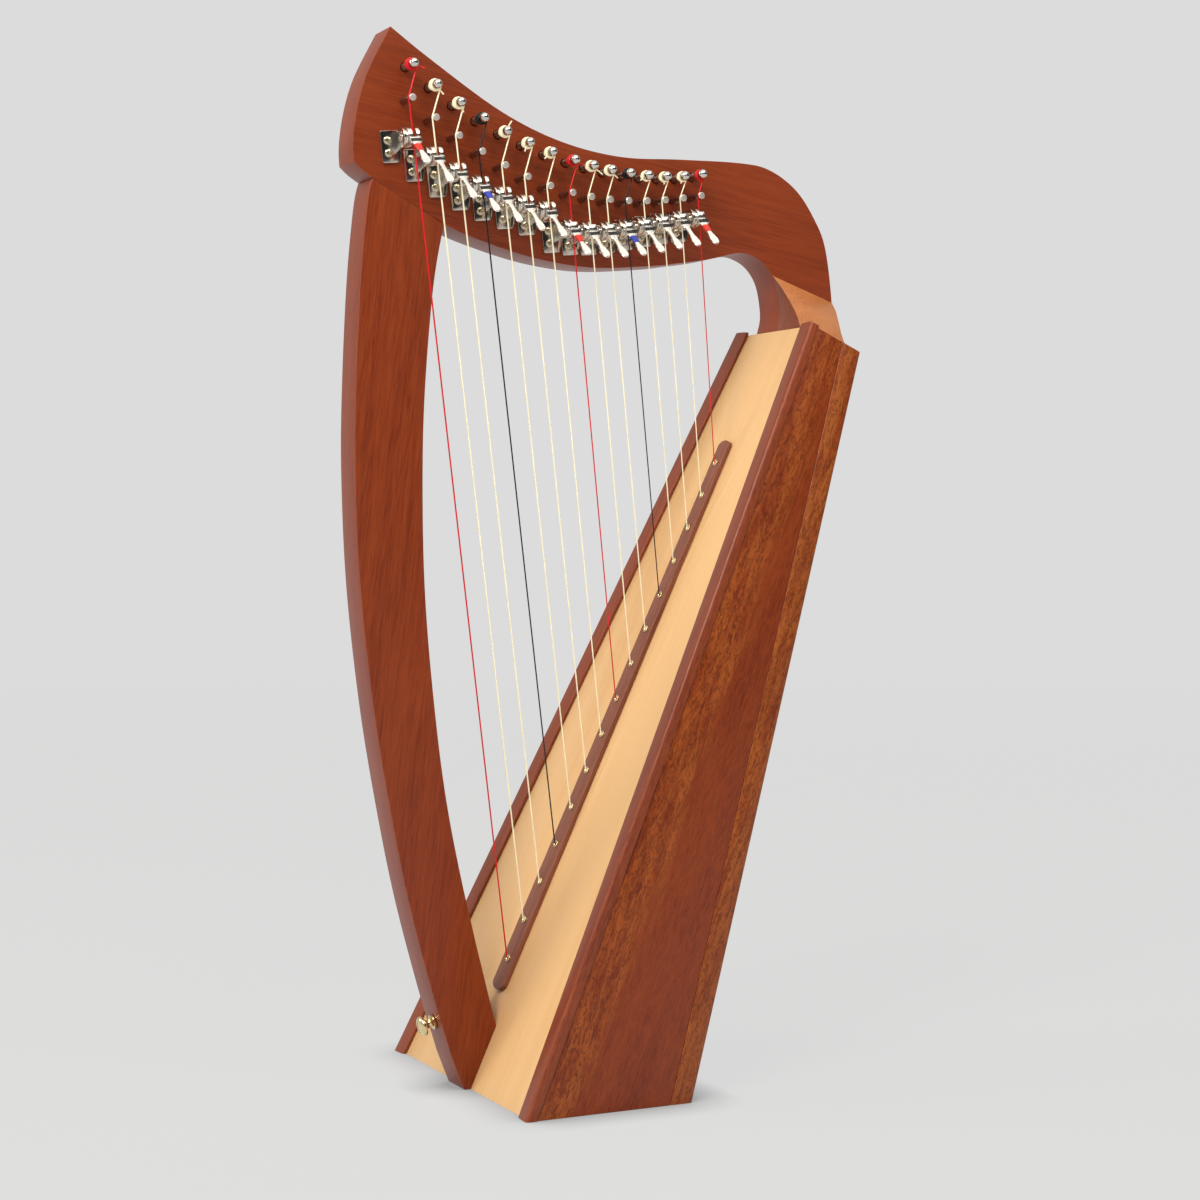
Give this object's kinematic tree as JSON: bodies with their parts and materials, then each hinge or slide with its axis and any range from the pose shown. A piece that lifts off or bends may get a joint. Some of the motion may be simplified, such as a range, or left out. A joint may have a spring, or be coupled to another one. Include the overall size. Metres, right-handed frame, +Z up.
{
  "type": "lever harp",
  "caption": "Small harp with a curved neck and bowed pillar on a tapered soundbox, with fifteen strings, tuning pins and semitone levers on screwed brackets.",
  "frame": {"origin": "on the floor under the middle of the bounding box", "axes": "+X from the pillar to the shoulder, +Y away from the side with strings and levers, +Z up"},
  "size_m": [0.3544, 0.24, 0.69],
  "materials": {
    "stained_wood": "stained mahogany, satin lacquer",
    "light_wood": "lighter mahogany, satin lacquer",
    "spruce": "spruce, satin lacquer",
    "strip_wood": "dark hardwood, satin",
    "nickel": "nickel plated",
    "brass": "polished",
    "red_string": "dyed nylon or gut",
    "black_string": "dyed nylon or gut",
    "natural_string": "clear nylon or gut"
  },
  "bodies": {
    "frame": {"neck": "stained_wood", "pillar": "stained_wood", "shoulder_block": "light_wood", "soundboard": "spruce", "string_strip": "strip_wood", "edge_trim_near": "stained_wood", "edge_trim_far": "stained_wood", "side_near": "stained_wood", "side_far": "stained_wood", "back_panel": "stained_wood", "top_block": "stained_wood", "base_board": "stained_wood", "inner_rib": "stained_wood", "lever_brackets": "nickel", "strap_button": "brass", "string_01": "red_string", "string_02": "natural_string", "string_03": "natural_string", "string_04": "black_string", "string_05": "natural_string", "string_06": "natural_string", "string_07": "natural_string", "string_08": "red_string", "string_09": "natural_string", "string_10": "natural_string", "string_11": "black_string", "string_12": "natural_string", "string_13": "natural_string", "string_14": "natural_string", "string_15": "red_string"},
    "lever_01": {"lever_01": "nickel"},
    "lever_02": {"lever_02": "nickel"},
    "lever_03": {"lever_03": "nickel"},
    "lever_04": {"lever_04": "nickel"},
    "lever_05": {"lever_05": "nickel"},
    "lever_06": {"lever_06": "nickel"},
    "lever_07": {"lever_07": "nickel"},
    "lever_08": {"lever_08": "nickel"},
    "lever_09": {"lever_09": "nickel"},
    "lever_10": {"lever_10": "nickel"},
    "lever_11": {"lever_11": "nickel"},
    "lever_12": {"lever_12": "nickel"},
    "lever_13": {"lever_13": "nickel"},
    "lever_14": {"lever_14": "nickel"},
    "lever_15": {"lever_15": "nickel"},
    "tuning_pin_01": {"tuning_pin_01": "nickel"},
    "tuning_pin_02": {"tuning_pin_02": "nickel"},
    "tuning_pin_03": {"tuning_pin_03": "nickel"},
    "tuning_pin_04": {"tuning_pin_04": "nickel"},
    "tuning_pin_05": {"tuning_pin_05": "nickel"},
    "tuning_pin_06": {"tuning_pin_06": "nickel"},
    "tuning_pin_07": {"tuning_pin_07": "nickel"},
    "tuning_pin_08": {"tuning_pin_08": "nickel"},
    "tuning_pin_09": {"tuning_pin_09": "nickel"},
    "tuning_pin_10": {"tuning_pin_10": "nickel"},
    "tuning_pin_11": {"tuning_pin_11": "nickel"},
    "tuning_pin_12": {"tuning_pin_12": "nickel"},
    "tuning_pin_13": {"tuning_pin_13": "nickel"},
    "tuning_pin_14": {"tuning_pin_14": "nickel"},
    "tuning_pin_15": {"tuning_pin_15": "nickel"}
  },
  "joints": [
    {"name": "lever_turn_01", "type": "hinge", "parent": "frame", "child": "lever_01", "pos_m": [-0.14176, -0.01568, 0.6173], "axis": [-0.9945, 0, -0.1045], "range_deg": [0, 56]},
    {"name": "lever_turn_02", "type": "hinge", "parent": "frame", "child": "lever_02", "pos_m": [-0.12578, -0.01574, 0.60627], "axis": [-0.9945, 0, -0.1045], "range_deg": [0, 56]},
    {"name": "lever_turn_03", "type": "hinge", "parent": "frame", "child": "lever_03", "pos_m": [-0.10991, -0.01576, 0.59701], "axis": [-0.9945, 0, -0.1045], "range_deg": [0, 56]},
    {"name": "lever_turn_04", "type": "hinge", "parent": "frame", "child": "lever_04", "pos_m": [-0.0941, -0.01572, 0.58945], "axis": [-0.9945, 0, -0.1045], "range_deg": [0, 56]},
    {"name": "lever_turn_05", "type": "hinge", "parent": "frame", "child": "lever_05", "pos_m": [-0.07834, -0.01565, 0.58346], "axis": [-0.9945, 0, -0.1045], "range_deg": [0, 56]},
    {"name": "lever_turn_06", "type": "hinge", "parent": "frame", "child": "lever_06", "pos_m": [-0.06259, -0.01554, 0.5789], "axis": [-0.9945, 0, -0.1045], "range_deg": [0, 56]},
    {"name": "lever_turn_07", "type": "hinge", "parent": "frame", "child": "lever_07", "pos_m": [-0.04683, -0.01539, 0.57558], "axis": [-0.9945, 0, -0.1045], "range_deg": [0, 56]},
    {"name": "lever_turn_08", "type": "hinge", "parent": "frame", "child": "lever_08", "pos_m": [-0.02992, -0.01543, 0.56469], "axis": [-0.9945, 0, -0.1045], "range_deg": [0, 27]},
    {"name": "lever_turn_09", "type": "hinge", "parent": "frame", "child": "lever_09", "pos_m": [-0.01635, -0.01526, 0.56377], "axis": [-0.9945, 0, -0.1045], "range_deg": [0, 27]},
    {"name": "lever_turn_10", "type": "hinge", "parent": "frame", "child": "lever_10", "pos_m": [-0.00288, -0.01504, 0.56445], "axis": [-0.9945, 0, -0.1045], "range_deg": [0, 27]},
    {"name": "lever_turn_11", "type": "hinge", "parent": "frame", "child": "lever_11", "pos_m": [0.01054, -0.01479, 0.5663], "axis": [-0.9945, 0, -0.1045], "range_deg": [0, 27]},
    {"name": "lever_turn_12", "type": "hinge", "parent": "frame", "child": "lever_12", "pos_m": [0.02395, -0.01452, 0.56889], "axis": [-0.9945, 0, -0.1045], "range_deg": [0, 27]},
    {"name": "lever_turn_13", "type": "hinge", "parent": "frame", "child": "lever_13", "pos_m": [0.0374, -0.01424, 0.57176], "axis": [-0.9945, 0, -0.1045], "range_deg": [0, 27]},
    {"name": "lever_turn_14", "type": "hinge", "parent": "frame", "child": "lever_14", "pos_m": [0.05094, -0.01397, 0.57446], "axis": [-0.9945, 0, -0.1045], "range_deg": [0, 27]},
    {"name": "lever_turn_15", "type": "hinge", "parent": "frame", "child": "lever_15", "pos_m": [0.06459, -0.01371, 0.57648], "axis": [-0.9945, 0, -0.1045], "range_deg": [0, 27]},
    {"name": "pin_turn_01", "type": "hinge", "parent": "frame", "child": "tuning_pin_01", "pos_m": [-0.14038, -0.0011, 0.6644], "axis": [0, -1, 0], "continuous": true},
    {"name": "pin_turn_02", "type": "hinge", "parent": "frame", "child": "tuning_pin_02", "pos_m": [-0.12423, -0.00119, 0.65216], "axis": [0, -1, 0], "continuous": true},
    {"name": "pin_turn_03", "type": "hinge", "parent": "frame", "child": "tuning_pin_03", "pos_m": [-0.10808, -0.00122, 0.64173], "axis": [0, -1, 0], "continuous": true},
    {"name": "pin_turn_04", "type": "hinge", "parent": "frame", "child": "tuning_pin_04", "pos_m": [-0.09193, -0.00122, 0.63286], "axis": [0, -1, 0], "continuous": true},
    {"name": "pin_turn_05", "type": "hinge", "parent": "frame", "child": "tuning_pin_05", "pos_m": [-0.07578, -0.00119, 0.62535], "axis": [0, -1, 0], "continuous": true},
    {"name": "pin_turn_06", "type": "hinge", "parent": "frame", "child": "tuning_pin_06", "pos_m": [-0.05963, -0.00111, 0.61905], "axis": [0, -1, 0], "continuous": true},
    {"name": "pin_turn_07", "type": "hinge", "parent": "frame", "child": "tuning_pin_07", "pos_m": [-0.04348, -0.00101, 0.61384], "axis": [0, -1, 0], "continuous": true},
    {"name": "pin_turn_08", "type": "hinge", "parent": "frame", "child": "tuning_pin_08", "pos_m": [-0.02733, -0.00089, 0.60963], "axis": [0, -1, 0], "continuous": true},
    {"name": "pin_turn_09", "type": "hinge", "parent": "frame", "child": "tuning_pin_09", "pos_m": [-0.01378, -0.00076, 0.60686], "axis": [0, -1, 0], "continuous": true},
    {"name": "pin_turn_10", "type": "hinge", "parent": "frame", "child": "tuning_pin_10", "pos_m": [-0.00023, -0.00061, 0.60476], "axis": [0, -1, 0], "continuous": true},
    {"name": "pin_turn_11", "type": "hinge", "parent": "frame", "child": "tuning_pin_11", "pos_m": [0.01332, -0.00045, 0.60336], "axis": [0, -1, 0], "continuous": true},
    {"name": "pin_turn_12", "type": "hinge", "parent": "frame", "child": "tuning_pin_12", "pos_m": [0.02687, -0.00026, 0.6027], "axis": [0, -1, 0], "continuous": true},
    {"name": "pin_turn_13", "type": "hinge", "parent": "frame", "child": "tuning_pin_13", "pos_m": [0.04042, -0.00006, 0.60284], "axis": [0, -1, 0], "continuous": true},
    {"name": "pin_turn_14", "type": "hinge", "parent": "frame", "child": "tuning_pin_14", "pos_m": [0.05397, 0.00017, 0.60385], "axis": [0, -1, 0], "continuous": true},
    {"name": "pin_turn_15", "type": "hinge", "parent": "frame", "child": "tuning_pin_15", "pos_m": [0.06752, 0.00043, 0.60584], "axis": [0, -1, 0], "continuous": true}
  ]
}
